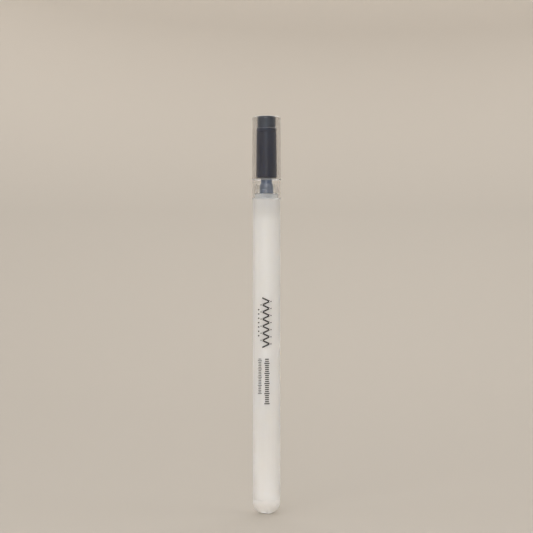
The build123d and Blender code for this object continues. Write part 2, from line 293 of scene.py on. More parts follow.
def add_object(name, data):
    ob = bpy.data.objects.new(name, data)
    bpy.context.scene.collection.objects.link(ob)
    return ob


def place(mesh, body, material, node=None):
    """An object that rides on a body and stands in for a CAD node, if one is given."""
    ob = add_object(mesh.name, mesh)
    ob.data.materials.append(material)
    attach(ob, body)
    if node:
        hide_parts(node)
    return ob


# -------------------------------------------------------------- material tools
def scaled(colour, factor):
    return tuple(c * factor for c in colour)


class Look:
    """A node material round one Principled shader, in object coordinates."""

    def __init__(self, name):
        self.mat = bpy.data.materials.new(name)
        self.mat.use_nodes = True
        self.tree = self.mat.node_tree
        self.tree.nodes.clear()
        self.out = self.node("OutputMaterial")
        self.main = self.node("BsdfPrincipled")
        self.coord = self.node("TexCoord")
        self.feed(self.out.inputs["Surface"], self.main.outputs[0])

    def feed(self, socket, value):
        """Link an output to the socket, or set its value."""
        if isinstance(value, bpy.types.NodeSocket):
            self.tree.links.new(value, socket)
        elif socket.type == "RGBA":
            socket.default_value = (*value, 1.0)
        else:
            socket.default_value = value

    def node(self, kind, inputs=None, **settings):
        node = self.tree.nodes.new("ShaderNode" + kind)
        for key, value in settings.items():
            setattr(node, key, value)
        for key, value in (inputs or {}).items():
            self.feed(node.inputs[key], value)
        return node

    def put(self, **values):
        """Set the shader's inputs; underscores stand for spaces."""
        for key, value in values.items():
            self.feed(self.main.inputs[key.replace("_", " ")], value)
        return self

    def noise(self, per_mm, detail=3.0, rough=0.5, shift=(0, 0, 0)):
        """Noise with a frequency per millimetre along x, y and z."""
        space = self.node("Mapping", {
            "Scale": tuple(f / MM for f in per_mm),
            "Location": shift,
            "Vector": self.coord.outputs["Object"],
        })
        return self.node("TexNoise", {
            "Scale": 1.0, "Detail": detail, "Roughness": rough, "Vector": space.outputs[0],
        }).outputs[0]

    def z_of(self, vector):
        return self.node("SeparateXYZ", {0: vector}).outputs["Z"]

    def height(self):
        return self.z_of(self.coord.outputs["Object"])

    def span(self, value, over, to=(0.0, 1.0)):
        """Map the range `over` to the range `to`, clamped."""
        return self.node("MapRange", {
            "From Min": over[0], "From Max": over[1],
            "To Min": to[0], "To Max": to[1],
            "Value": value,
        }).outputs[0]

    def ramp(self, height, start, end, to=(0.0, 1.0)):
        """As span, over a height range in millimetres."""
        return self.span(height, (start * MM, end * MM), to)

    def calc(self, operation, a, b):
        return self.node("Math", {0: a, 1: b}, operation=operation).outputs[0]

    def add(self, a, b):
        return self.calc("ADD", a, b)

    def times(self, a, b):
        return self.calc("MULTIPLY", a, b)

    def blend(self, factor, a, b):
        return self.node("Mix", {"Factor": factor, 6: a, 7: b}, data_type="RGBA").outputs[2]

    def bump(self, height, microns, strength, under=None):
        inputs = {"Strength": strength, "Distance": microns * 1e-6, "Height": height}
        if under is not None:
            inputs["Normal"] = under
        return self.node("Bump", inputs).outputs[0]

    def lamps_through(self, tint):
        """Lamps shine through the surface instead of casting a solid shadow."""
        path = self.node("LightPath")
        clear = self.node("BsdfTransparent", {0: tint})
        mix = self.node("MixShader", {
            0: path.outputs["Is Shadow Ray"], 1: self.main.outputs[0], 2: clear.outputs[0],
        })
        self.feed(self.out.inputs["Surface"], mix.outputs[0])
        return self


def milky(name, tone=1.0, clear=0.58, wet_above=None):
    """Frosted natural polypropylene: cloudy, slightly warm, fine draw lines."""
    k = Look(name)
    draw = k.noise(per_mm=(2.6, 2.6, 0.035), detail=4.0, rough=0.55)
    cloud = k.noise(per_mm=(0.10, 0.10, 0.05), detail=2.0)
    grain = k.noise(per_mm=(7, 7, 7), detail=2.0)
    scuff = k.noise(per_mm=(0.9, 0.9, 0.22), detail=5.0, rough=0.65, shift=(3, 1, 2))
    tint = k.blend(
        k.span(cloud, over=(0.3, 0.7)),
        scaled((0.870, 0.856, 0.844), tone),
        scaled((0.912, 0.901, 0.892), tone),
    )
    lines = k.span(draw, over=(0.40, 0.62), to=(0.0, 0.35))
    tint = k.blend(lines, tint, scaled((0.935, 0.929, 0.922), tone))
    if wet_above is not None:
        # painted shade: the tint darkens slowly from low on the barrel upwards, toning down
        # where the lamps light the barrel brighter higher up; above wet_above the wall lies
        # tight on the clear bush there, and so scatters a little less
        height = k.height()
        slow = k.ramp(height, 0.35 * wet_above, 0.9 * wet_above)
        tint = k.blend(slow, tint, scaled((0.850, 0.842, 0.833), tone))
        wet = k.ramp(height, wet_above, wet_above + 3.0)
        tint = k.blend(wet, tint, scaled((0.775, 0.766, 0.755), tone))
    rough = k.span(grain, over=(0.3, 0.7), to=(0.34, 0.44))
    rough = k.add(rough, k.span(scuff, over=(0.52, 0.75), to=(0.0, 0.16)))
    normal = k.bump(draw, microns=9.0, strength=0.5)
    normal = k.bump(grain, microns=2.2, strength=0.5, under=normal)
    k.put(
        Base_Color=tint,
        Roughness=rough,
        Normal=normal,
        IOR=1.49,
        Transmission_Weight=clear,
        Subsurface_Weight=1.0,
        Subsurface_Scale=0.0016,
        Subsurface_Radius=(1.0, 0.95, 0.88),
        Sheen_Weight=0.22,
        Sheen_Roughness=0.5,
    )
    return k.lamps_through((0.74, 0.74, 0.73)).mat


def clear_plastic(
    name, tint, rough_range, clear=1.0, lamp=(0.92, 0.925, 0.93),
    frosted_below=None, deeper_above=None, deep_tint_and_shade=None, edges=()
):
    """Moulded clear plastic with handling scratches and faint flow lines. Each edge is a line of
    painted shade, given as (z, half width, strength)."""
    k = Look(name)
    scratch = k.noise(per_mm=(5.5, 5.5, 0.16), detail=5.0, rough=0.7)
    ring = k.noise(per_mm=(0.35, 0.35, 4.5), detail=4.0, rough=0.65, shift=(7, 2, 0))
    haze = k.noise(per_mm=(0.18, 0.18, 0.12), shift=(1, 4, 9))
    flow = k.noise(per_mm=(0.5, 0.5, 0.09), detail=2.0)
    marks = k.calc(
        "MAXIMUM",
        k.span(scratch, over=(0.60, 0.74)),
        k.span(ring, over=(0.63, 0.78), to=(0.0, 0.8)),
    )
    base = k.span(haze, over=(0.35, 0.65), to=rough_range)
    rough = k.add(base, k.times(marks, 0.16))
    normal = k.bump(flow, microns=22.0, strength=0.35)
    normal = k.bump(marks, microns=1.1, strength=0.5, under=normal)
    colour = k.blend(k.span(haze, over=(0.3, 0.7)), tint, scaled(tint, 0.975))
    if deeper_above is not None:
        # the wall is thicker round the inner cap, so its tint shows more there; the darkening is
        # also partly painted shade of the dark inner cap seen in the wall
        thick_wall_and_shade = k.ramp(k.height(), deeper_above, deeper_above + 0.6)
        colour = k.blend(thick_wall_and_shade, colour, deep_tint_and_shade)
    if frosted_below is not None:
        # the spigot and the solid base are textured, the neck above them is polished
        frost = k.ramp(k.height(), frosted_below, frosted_below + 0.12, to=(1.0, 0.0))
        rough = k.add(rough, k.times(frost, 0.26))
        colour = k.blend(frost, colour, scaled(tint, 0.88))
        clear = k.span(frost, over=(0.0, 1.0), to=(clear, 0.83))
    for z, half, strength in edges:
        # painted shade: a moulded edge or step gets a fine darker line painted in for its shadow
        # and dark reflection, and is made duller
        off = k.calc("ABSOLUTE", k.calc("SUBTRACT", k.height(), z * MM), 0.0)
        near = k.ramp(off, half * 0.55, half, to=(1.0, 0.0))
        colour = k.blend(k.times(near, strength), colour, (0.60, 0.575, 0.545))
        rough = k.add(rough, k.times(near, 0.30))
    k.put(
        Base_Color=colour,
        Roughness=rough,
        Normal=normal,
        IOR=1.49,
        Transmission_Weight=clear,
    )
    return k.lamps_through(lamp).mat


def moulded(
    name, base, light, rough_range, grain_um, sheen=0.0, ior=1.5, gleam=(1.0, 1.0, 1.0),
    crown_above=None, crown_end=None, painted_head_light=None
):
    """Opaque moulded plastic: fine spark-eroded grain, flow clouds and rub marks. A paler colour
    of painted light lies between the heights crown_above and crown_end."""
    k = Look(name)
    grain = k.noise(per_mm=(9, 9, 9), rough=0.6)
    cloud = k.noise(per_mm=(0.22, 0.22, 0.09))
    rub = k.noise(per_mm=(4.0, 4.0, 0.18), detail=5.0, rough=0.7, shift=(5, 5, 1))
    colour = k.blend(k.span(cloud, over=(0.3, 0.7)), base, light)
    rubbed = tuple(min(1.0, c * 2.1 + 0.01) for c in light)
    colour = k.blend(k.span(rub, over=(0.62, 0.76), to=(0.0, 0.35)), colour, rubbed)
    if crown_above is not None:
        # painted light: the side that fills the hole in the clear shell is painted paler,
        # standing in for the haze and light the clear top spreads over it; the end face keeps
        # little of it
        height = k.height()
        side = k.ramp(height, crown_above, crown_above + 0.4)
        end = k.ramp(height, crown_end, crown_end + 0.2, to=(1.0, 0.12))
        colour = k.blend(k.times(side, end), colour, painted_head_light)
        # the bare end face is dulled to a plain dark grey
        face = k.ramp(height, crown_end + 0.28, crown_end + 0.42)
        colour = k.blend(face, colour, (0.0105, 0.0120, 0.0165))
    rough = k.span(grain, over=(0.3, 0.7), to=rough_range)
    rough = k.add(rough, k.span(rub, over=(0.60, 0.76), to=(0.0, 0.12)))
    normal = k.bump(grain, microns=grain_um, strength=0.6)
    normal = k.bump(k.span(rub, over=(0.6, 0.76)), microns=0.8, strength=0.4, under=normal)
    k.put(
        Base_Color=colour,
        Roughness=rough,
        Normal=normal,
        IOR=ior,
        Coat_Roughness=0.12,
        Sheen_Weight=sheen,
        Sheen_Roughness=0.45,
        Sheen_Tint=(0.72, 0.84, 1.0),
        Specular_Tint=gleam,
    )
    return k.mat


def turned_metal(name, base, light, rough, rings_per_mm=7.0, depth_um=1.4):
    """Lathe-turned metal: close tool rings, a little smear, small stains."""
    k = Look(name)
    ring = k.noise(per_mm=(0.25, 0.25, rings_per_mm), detail=5.0, rough=0.7)
    stain = k.noise(per_mm=(1.1, 1.1, 0.8), detail=4.0, shift=(2, 8, 3))
    colour = k.blend(k.span(stain, over=(0.35, 0.68)), light, base)
    grooves = k.span(ring, over=(0.35, 0.62), to=(0.0, 0.45))
    colour = k.blend(grooves, colour, scaled(base, 0.72))
    ring_rough = k.span(ring, over=(0.3, 0.7), to=(rough * 0.75, rough * 1.4))
    k.put(
        Base_Color=colour,
        Metallic=1.0,
        Roughness=k.add(ring_rough, k.span(stain, over=(0.5, 0.7), to=(0.0, 0.08))),
        Normal=k.bump(ring, microns=depth_um, strength=0.8),
        Anisotropic=0.35,
    )
    return k.mat


def soft(name, base, light, rough, clear=0.0, microns=2.5, fine_per_mm=2.2):
    """Rubber, grease or ink: smooth with slow unevenness."""
    k = Look(name)
    slow = k.noise(per_mm=(0.5, 0.5, 0.16))
    fine = k.noise(per_mm=(fine_per_mm,) * 3, rough=0.6)
    k.put(
        Base_Color=k.blend(k.span(slow, over=(0.32, 0.68)), base, light),
        Roughness=k.span(fine, over=(0.3, 0.7), to=(rough * 0.8, rough * 1.25)),
        Normal=k.bump(
            fine, microns=microns, strength=0.5,
            under=k.bump(slow, microns=microns * 3, strength=0.4),
        ),
        IOR=1.45,
        Transmission_Weight=clear,
    )
    return k.mat


MILKY = milky("milky_polypropylene", wet_above=low("front_bush") + 0.8)
PLUG = milky("milky_plug_polypropylene", tone=0.985, clear=0.48)
NECK = clear_plastic(
    "clear_neck_plastic", tint=(0.95, 0.955, 0.95), rough_range=(0.03, 0.08),
    lamp=(0.90, 0.90, 0.895), frosted_below=NECK_FLOOR,
)
SHELL = clear_plastic(
    "clear_cap_plastic", tint=(0.955, 0.955, 0.955), rough_range=(0.015, 0.05),
    # the deeper tint is the thicker wall's own tint and partly painted shade
    deeper_above=low("inner_cap") - 0.7, deep_tint_and_shade=(0.74, 0.73, 0.725),
    # painted shade lines at the inner cap's step and at the shell's rim
    edges=((low("inner_cap") - 0.68, 0.30, 0.30), (low("cap_shell") + 0.1, 0.22, 0.10)),
)
TUBE = clear_plastic(
    "natural_tube_plastic", tint=(0.93, 0.93, 0.92), rough_range=(0.14, 0.2),
    clear=0.9, lamp=(0.86, 0.86, 0.85),
)
CORE = moulded(
    "dark_cap_plastic", base=(0.0022, 0.0054, 0.0240), light=(0.0036, 0.0084, 0.0310),
    rough_range=(0.27, 0.38), grain_um=0.35, sheen=0.12, ior=1.26, gleam=(0.45, 0.75, 1.0),
    crown_above=high("inner_cap") - 4.3, crown_end=high("inner_cap") - 0.45,
    # the paler head colour is painted light
    painted_head_light=(0.025, 0.033, 0.051),
)
HOLDER = moulded(
    "grey_blue_holder_plastic", base=(0.033, 0.060, 0.110), light=(0.046, 0.076, 0.132),
    rough_range=(0.28, 0.40), grain_um=1.4, sheen=0.18,
)
WHITE_INK = soft("white_ink", base=(0.82, 0.82, 0.815), light=(0.90, 0.90, 0.90), rough=0.3)
GREASE = soft(
    "follower_grease", base=(0.70, 0.69, 0.63), light=(0.78, 0.77, 0.71), rough=0.2, clear=0.45
)
STEEL = turned_metal(
    "turned_stainless", base=(0.50, 0.49, 0.47), light=(0.66, 0.65, 0.63), rough=0.24
)
BALL = turned_metal(
    "ground_carbide", base=(0.36, 0.36, 0.37), light=(0.46, 0.46, 0.47), rough=0.16,
    rings_per_mm=3.0, depth_um=0.4,
)
SPRING = turned_metal(
    "drawn_spring_steel", base=(0.45, 0.44, 0.42), light=(0.6, 0.59, 0.57), rough=0.22,
    rings_per_mm=9.0, depth_um=0.6,
)
SEAL = soft(
    "seal_rubber", base=(0.30, 0.30, 0.295), light=(0.36, 0.36, 0.355), rough=0.55,
    microns=4.0, fine_per_mm=6.0,
)
PRINT = moulded(
    "black_print", base=(0.007, 0.007, 0.008), light=(0.014, 0.014, 0.015),
    rough_range=(0.42, 0.6), grain_um=1.2,
)


def pipe(inner_r, outer_r, bottom, top, inner_fillet, outer_fillet):
    """The profile table of a plain tube."""
    return [
        (inner_r, bottom, inner_fillet), (outer_r, bottom, outer_fillet),
        (outer_r, top, outer_fillet), (inner_r, top, inner_fillet),
    ]


def beads(heights, half, low_r, high_r):
    """Profile points of raised rings centred at the heights."""
    out = []
    for z in heights:
        out += [
            (low_r, z - half, 0.12),
            (high_r, z - half * 0.32, 0.1),
            (high_r, z + half * 0.32, 0.1),
            (low_r, z + half, 0.12),
        ]
    return out


# ---------------------------------------------------------------------- barrel
BARREL_R = wide("barrel")
BARREL_BORE = BARREL_R - 1.0
BARREL_LOW, BARREL_HIGH = low("barrel"), high("barrel")
BEAD_R = BARREL_BORE - 0.004  # beads of the plug and the bush touch the bore

barrel = pipe(BARREL_BORE, BARREL_R, BARREL_LOW, BARREL_HIGH, 0.14, 0.16)
place(lathe("barrel_tube", rounded(barrel), 128), "pen", MILKY, "barrel")

# ------------------------------------------------------------------- rear plug
PLUG_LOW, PLUG_HIGH = low("rear_plug"), high("rear_plug")
DOME_R = BARREL_R - 0.05
DOME_FLAT_R = 0.8  # the dome is flat this far out from the axis
DOME_HEIGHT = 4.2
SPIGOT_R = BARREL_BORE - 0.12
TUBE_R, TUBE_LOW, TUBE_HIGH = wide("ink_tube"), low("ink_tube"), high("ink_tube")
TUBE_SOCKET_R = TUBE_R + 0.03
PLUG_SLOTS = 4
SLOT_HALF, SLOT_DEPTH, SLOT_REACH = 0.45, 1.2, TUBE_SOCKET_R + 0.45


def plug_chain(slotted):
    quarter = [math.pi / 2 * k / 24 for k in range(25)]
    dome = [
        (
            DOME_FLAT_R + (DOME_R - DOME_FLAT_R) * math.sin(t),
            PLUG_LOW + DOME_HEIGHT * (1 - math.cos(t)),
        )
        for t in quarter
    ]
    shoulder = [
        (DOME_R, BARREL_LOW - 0.16),
        (DOME_R - 0.05, BARREL_LOW - 0.05),
        (DOME_R - 0.16, BARREL_LOW),
    ]
    bead_heights = [BARREL_LOW + up for up in (2.2, 5.0, 7.8)]
    spigot = rounded(
        [
            (SPIGOT_R, BARREL_LOW),
            *beads(bead_heights, 0.45, SPIGOT_R, BEAD_R),
            (SPIGOT_R, PLUG_HIGH - 0.6, 0.25),
            (SPIGOT_R - 0.4, PLUG_HIGH),
        ],
        4,
        closed=False,
    )
    ledge = TUBE_LOW - SLOT_DEPTH if slotted else TUBE_LOW
    socket_r = SLOT_REACH if slotted else TUBE_SOCKET_R
    inside = [
        (socket_r + (0.02 if slotted else 0.25), PLUG_HIGH),
        (socket_r + 0.001, PLUG_HIGH - 0.35),
        (socket_r, ledge),
        (2.1, ledge - 0.001),
        (2.1, PLUG_LOW + 3.9),
        (1.8, PLUG_LOW + 3.6),
        (0.5, PLUG_LOW + 3.6),
        (0.5, PLUG_LOW + 0.12),
        (0.62, PLUG_LOW),
    ]
    return dome + shoulder + spigot + inside


slot_half_angle = math.asin(SLOT_HALF / (TUBE_SOCKET_R + 0.2))
plug = sectored_lathe(
    "rear_plug_dome", plug_chain(False), plug_chain(True), PLUG_SLOTS, slot_half_angle
)
place(plug, "pen", PLUG, "rear_plug")

# ------------------------------------------------------------------ front bush
BUSH_LOW, BUSH_HIGH = low("front_bush"), high("front_bush")
NECK_R = wide("front_bush") - 0.1
BUSH_R = BARREL_BORE - 0.1
STEM_R = 2.3

bush = [
    (TUBE_R + 0.3, BUSH_LOW, 0.12),
    (BARREL_BORE - 0.45, BUSH_LOW, 0.12),
    (BUSH_R, BUSH_LOW + 0.6, 0.2),
    *beads([BUSH_LOW + up for up in (2.2, 4.6, 7.0)], 0.4, BUSH_R, BEAD_R),
    (BUSH_R, BARREL_HIGH - 0.01, 0.05),
    (NECK_R, BARREL_HIGH + 0.01, 0.08),
    *beads([BARREL_HIGH + 3.0], 0.45, NECK_R, NECK_R + 0.1),
    (NECK_R, BUSH_HIGH, 0.28),
    (NECK_R - 0.83, BUSH_HIGH, 0.22),
    (NECK_R - 0.93, NECK_FLOOR + 0.2, 0.25),
    (NECK_R - 1.23, NECK_FLOOR, 0.2),
    (STEM_R, NECK_FLOOR, 0.05),
    (STEM_R, TUBE_HIGH, 0.03),
    (TUBE_R + 0.02, TUBE_HIGH, 0.1),
    (TUBE_R + 0.02, BUSH_LOW + 0.5, 0.2),
]
place(
    lathe("front_bush_neck", rounded(bush, 4), 128),
    "pen", NECK, "front_bush",
)

# ---------------------------------------------------- ink tube, ink and follower
tube = pipe(TUBE_R - 0.4, TUBE_R, TUBE_LOW, TUBE_HIGH, 0.08, 0.1)
place(lathe("ink_tube_wall", rounded(tube, 4)), "pen", TUBE, "ink_tube")

INK_LOW, INK_HIGH, INK_R = low("ink"), high("ink"), wide("ink") - 0.01
column = rounded(
    [(0, INK_LOW), (INK_R, INK_LOW, 0.05), (INK_R, INK_HIGH, 0.35), (0, INK_HIGH - 0.25)],
    closed=False,
)
ink = place(
    lathe("ink_column", column, closed=False), "pen", WHITE_INK, "ink"
)
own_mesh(ink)

FOLLOWER_LOW, FOLLOWER_HIGH = low("ink_follower"), high("ink_follower")
HOLLOW = 0.9  # depth of the hollow in the follower's lower face
# from the axis outwards; 0.97 sets how round the hollow is and 0.827 is its full drop
cup = [
    (INK_R * t, FOLLOWER_LOW + HOLLOW - HOLLOW * (1 - math.sqrt(1 - 0.97 * t * t)) / 0.827)
    for t in (k / 12 for k in range(12))
]
cup.append((INK_R, FOLLOWER_LOW + 0.02))
cup += rounded([cup[-1], (INK_R, FOLLOWER_HIGH, 0.05), (0, FOLLOWER_HIGH)], 4, closed=False)
place(
    lathe("ink_follower_plug", cup, closed=False),
    "follower", GREASE, "ink_follower",
)

# ------------------------------------------------------------------ tip holder
HOLDER_LOW, HOLDER_HIGH = low("tip_holder"), high("tip_holder")
HOLDER_R = wide("tip_holder")
POINT_LOW, POINT_HIGH, POINT_R = low("point"), high("point"), wide("point")
WAIST_R, WAIST_Z = 1.98, NECK_FLOOR + 4.7
FLARE_TAPER = 0.05  # loss of radius on the nearly straight part


def flare_point(t):
    """Nearly straight above the foot, then a quick turn in to the waist."""
    ease = min(1.0, max(0.0, (t - 0.50) / 0.46))
    ease = ease * ease * (3 - 2 * ease)
    return (
        HOLDER_R - FLARE_TAPER * min(1.0, t / 0.4) + (WAIST_R - HOLDER_R + FLARE_TAPER) * ease,
        NECK_FLOOR + 0.3 + (WAIST_Z - NECK_FLOOR - 0.3) * t,
    )


flare = [flare_point(k / 18) for k in range(19)]
holder_foot = [
    (0.92, HOLDER_LOW + 1.0),
    (1.55, HOLDER_LOW, 0.1),
    (STEM_R - 0.28, HOLDER_LOW, 0.15),
    (STEM_R - 0.035, HOLDER_LOW + 0.4, 0.2),
    (STEM_R - 0.035, TUBE_HIGH),
    (STEM_R - 0.025, TUBE_HIGH + 0.2),
    (STEM_R - 0.025, NECK_FLOOR, 0.03),
    (HOLDER_R - 0.12, NECK_FLOOR, 0.04),
    (HOLDER_R, NECK_FLOOR + 0.14, 0.08),
]
# the last point of the foot is an open end, so it stays sharp
holder_nose_and_bore = [
    flare[-1],
    (WAIST_R, HOLDER_HIGH - 3.4, 0.6),
    (1.82, HOLDER_HIGH - 2.6, 0.8),
    (1.72, HOLDER_HIGH - 0.5, 0.3),
    (1.37, HOLDER_HIGH, 0.12),
    (1.152, HOLDER_HIGH, 0.03),
    (1.152, POINT_LOW, 0.03),
    (0.92, POINT_LOW, 0.03),
    (0.92, HOLDER_LOW + 1.0),
]
holder = rounded(holder_foot, 4, closed=False) + flare
holder += rounded(holder_nose_and_bore, 5, closed=False)
place(lathe("tip_holder_cone", holder, 112), "pen", HOLDER, "tip_holder")

# ------------------------------------------------------- point, ball and spring
BALL_Z = (low("writing_ball") + high("writing_ball")) / 2
BALL_R = wide("writing_ball")
BALL_SOCKET_R = BALL_R + 0.03
SOCKET_END = -1.15  # angle of the socket's lower edge, seen from the ball's centre

lip_angle = math.asin(min(1.0, (POINT_HIGH - 0.01 - BALL_Z) / BALL_SOCKET_R))
ball_socket = arc((0, BALL_Z), BALL_SOCKET_R, lip_angle, SOCKET_END - lip_angle, 12)
point_outside = [
    (0.45, POINT_LOW),
    (POINT_R - 0.12, POINT_LOW, 0.05),
    (POINT_R, POINT_LOW + 0.2, 0.1),
    # groove just above the holder
    (POINT_R, HOLDER_HIGH + 0.50, 0.05),
    (POINT_R - 0.1, HOLDER_HIGH + 0.62, 0.05),
    (POINT_R - 0.1, HOLDER_HIGH + 0.95, 0.05),
    (POINT_R, HOLDER_HIGH + 1.07, 0.05),
    # cone
    (POINT_R, POINT_HIGH - 3.46, 0.35),
    (0.75, POINT_HIGH - 0.62, 0.15),
    (0.645, POINT_HIGH - 0.18, 0.12),
    (0.60, POINT_HIGH - 0.005),
]
point_bore = [
    ball_socket[-1],
    (0.30, ball_socket[-1][1] - 0.1, 0.05),
    (0.30, POINT_HIGH - 3.0, 0.05),
    (0.78, POINT_HIGH - 3.5, 0.1),
    (0.78, POINT_LOW + 0.60, 0.03),
    (0.45, POINT_LOW + 0.55),
]
point = rounded(point_outside, 5, closed=False) + ball_socket
point += rounded(point_bore, 4, closed=False)
place(lathe("point_body", point), "pen", STEEL, "point")

half_circle = arc((0, BALL_Z), BALL_R, -math.pi / 2, math.pi, 36)
sphere = [(0, BALL_Z - BALL_R), *half_circle[1:-1], (0, BALL_Z + BALL_R)]
place(
    lathe("ball_body", sphere, 64, closed=False, crease=60),
    "ball", BALL, "writing_ball",
)

spring = frame["nodes"]["tip_spring"]
spring.data.materials.clear()
spring.data.materials.append(SPRING)

# ------------------------------------------------------------------- cap shell
CAP_LOW, CAP_HIGH, CAP_R = low("cap_shell"), high("cap_shell"), wide("cap_shell")
INNER_LOW, INNER_HIGH, INNER_R = low("inner_cap"), high("inner_cap"), wide("inner_cap")
FLANGE_Z = CAP_HIGH - 4.2  # shoulder where the inner cap narrows to its head
HEAD_R = 3.32

shell = [
    (CAP_R - 0.63, CAP_LOW, 0.12),
    (CAP_R, CAP_LOW, 0.2),
    (CAP_R - 0.13, CAP_HIGH, 1.3),
    (HEAD_R + 0.02, CAP_HIGH, 0.07),
    (HEAD_R + 0.02, FLANGE_Z, 0.03),
    (INNER_R, FLANGE_Z, 0.06),
    (INNER_R + 0.14, INNER_LOW - 0.58, 0.08),
    (CAP_R - 0.81, INNER_LOW - 0.7, 0.1),
    (CAP_R - 0.81, CAP_LOW + 0.3, 0.2),
]
place(
    lathe("cap_outer", rounded(shell, 8), 128), "cap", SHELL, "cap_shell"
)

# ------------------------------------------------------------------- inner cap
CAP_BORE, RIB_R = 2.3, 2.02
RIBS, RIB_HALF = 6, 0.4
SEAL_LOW, SEAL_HIGH = low("tip_seal"), high("tip_seal")
RIB_TOP = INNER_LOW + 5.2
GROOVE_Z = CAP_HIGH - 5.75


def inner_cap_chain(ribbed):
    rib_r = RIB_R if ribbed else CAP_BORE
    outside = [
        (CAP_BORE + 0.3, INNER_LOW),
        (INNER_R - 0.2, INNER_LOW, 0.12),
        (INNER_R, INNER_LOW + 0.25, 0.15),
        (INNER_R - 0.14, GROOVE_Z - 0.3, 0.05),
        (INNER_R - 0.28, GROOVE_Z - 0.14, 0.06),
        (INNER_R - 0.28, GROOVE_Z + 0.14, 0.06),
        (INNER_R - 0.14, GROOVE_Z + 0.3, 0.05),
        (INNER_R - 0.17, FLANGE_Z - 0.28, 0.1),
        (INNER_R - 0.32, FLANGE_Z - 0.02, 0.05),
        (HEAD_R, FLANGE_Z, 0.03),
        (HEAD_R, INNER_HIGH - 0.3, 0.15),
        (HEAD_R - 0.3, INNER_HIGH, 0.18),
        (0.001, INNER_HIGH),
    ]
    inside = [
        (0.001, SEAL_HIGH),
        (CAP_BORE - 0.08, SEAL_HIGH - 0.001),
        (CAP_BORE, SEAL_HIGH - 0.08),
        (CAP_BORE - 0.0005, RIB_TOP + 0.28),
        (rib_r, RIB_TOP),
        (rib_r, INNER_LOW + 1.2),
        (CAP_BORE - 0.0002, INNER_LOW + 0.6),
        (CAP_BORE, INNER_LOW + 0.4),
    ]
    return rounded(outside, 5, closed=False) + inside


rib_half_angle = RIB_HALF / ((CAP_BORE + RIB_R) / 2)
inner_cap = sectored_lathe(
    "cap_inner", inner_cap_chain(False), inner_cap_chain(True), RIBS, rib_half_angle
)
place(inner_cap, "cap", CORE, "inner_cap")

# -------------------------------------------------------------------- tip seal
DISH_R, DISH_DROP = 2.05, 1.9  # hollow's sphere, and its centre below the seal
dish_edge = math.sqrt(DISH_R**2 - DISH_DROP**2)
dish = [
    (r, SEAL_LOW - DISH_DROP + math.sqrt(DISH_R**2 - r * r))
    for r in (dish_edge * k / 10 for k in range(11))
]
seal_side = [
    dish[-1],
    (CAP_BORE - 0.18, SEAL_LOW, 0.1),
    (CAP_BORE - 0.01, SEAL_LOW + 0.2, 0.15),
    (CAP_BORE - 0.01, SEAL_HIGH - 0.002),
    (0, SEAL_HIGH - 0.002),
]
seal = dish + rounded(seal_side, 4, closed=False)
place(
    lathe("cap_seal", seal, 80, closed=False), "cap", SEAL, "tip_seal"
)

# ----------------------------------------------------------------------- print
# Sewing motifs in black on the barrel's -Y side: a zig-zag stitch, dots and rows of
# short ticks. x is across the flat print.
PRINT_RADII = (BARREL_R + 0.012, BARREL_R - 0.012)
PRINT_BASE = BARREL_LOW - 5.2  # print heights count from the dome's lowest point
LONGEST_EDGE = 0.35
MITRE_LIMIT = 0.35
print_verts, print_faces = [], []


def wrap(x, z, r):
    """A point of the flat print, wrapped on the barrel's -Y side."""
    t = math.asin(max(-1.0, min(1.0, x / BARREL_R)))
    return (r * math.sin(t) * MM, -r * math.cos(t) * MM, z * MM)


def slab(left, right):
    """A closed thin strip between two equally long runs of (x, z) points."""
    top = len(print_verts)
    count = len(left)
    bottom = top + 2 * count
    for r in PRINT_RADII:
        for a, b in zip(left, right):
            print_verts.append(wrap(*a, r))
            print_verts.append(wrap(*b, r))
    for i in range(count - 1):
        a, b, c, d = 2 * i, 2 * i + 1, 2 * i + 3, 2 * i + 2
        print_faces.append((top + a, top + b, top + c, top + d))
        print_faces.append((bottom + d, bottom + c, bottom + b, bottom + a))
        print_faces.append((top + d, bottom + d, bottom + a, top + a))
        print_faces.append((top + b, bottom + b, bottom + c, top + c))
    print_faces.append((top + 1, top, bottom, bottom + 1))
    end = 2 * (count - 1)
    print_faces.append((top + end, top + end + 1, bottom + end + 1, bottom + end))


def stroke(points, width):
    """A ribbon along (x, z) points with mitred corners."""
    run = []
    for a, b in zip(points, points[1:]):
        parts = max(1, int(math.ceil(gap(a, b) / LONGEST_EDGE)))
        for k in range(parts):
            t = k / parts
            run.append((a[0] + (b[0] - a[0]) * t, a[1] + (b[1] - a[1]) * t))
    run.append(points[-1])
    ways = [unit(a, b) for a, b in zip(run, run[1:])]
    left, right = [], []
    for i, p in enumerate(run):
        before, after = ways[max(0, i - 1)], ways[min(i, len(ways) - 1)]
        across = unit((0, 0), (-(before[1] + after[1]), before[0] + after[0]))
        lean = across[0] * -before[1] + across[1] * before[0]
        reach = width / 2 / max(MITRE_LIMIT, lean)
        left.append((p[0] + across[0] * reach, p[1] + across[1] * reach))
        right.append((p[0] - across[0] * reach, p[1] - across[1] * reach))
    slab(left, right)


def dot(x, z, r, steps=10):
    """A closed thin disc."""
    left, right = [], []
    for k in range(steps + 1):
        t = math.pi * k / steps
        up = r * math.cos(t)
        half = max(r * math.sin(t), r * 0.06)
        left.append((x - half, z + up))
        right.append((x + half, z + up))
    slab(left, right)


# zig-zag stitch with needle holes
ZIG_LOW, ZIG_HIGH = PRINT_BASE + 60.2, PRINT_BASE + 78.0
ZIG_X, ZIG_REACH, ZIG_TURNS = -0.175, 1.36, 14
zig = [
    (
        ZIG_X + (ZIG_REACH if k % 2 else -ZIG_REACH),
        ZIG_LOW + (ZIG_HIGH - ZIG_LOW) * k / ZIG_TURNS,
    )
    for k in range(ZIG_TURNS + 1)
]
stroke(zig, width=0.50)
for k, (x, z) in enumerate(zig[1:-1], 1):
    dot(x + (0.42 if k % 2 else -0.42), z, r=0.20)

# dotted line beside it
for k in range(7):
    dot(-2.8, PRINT_BASE + 64.4 + 1.56 * k, r=0.26)

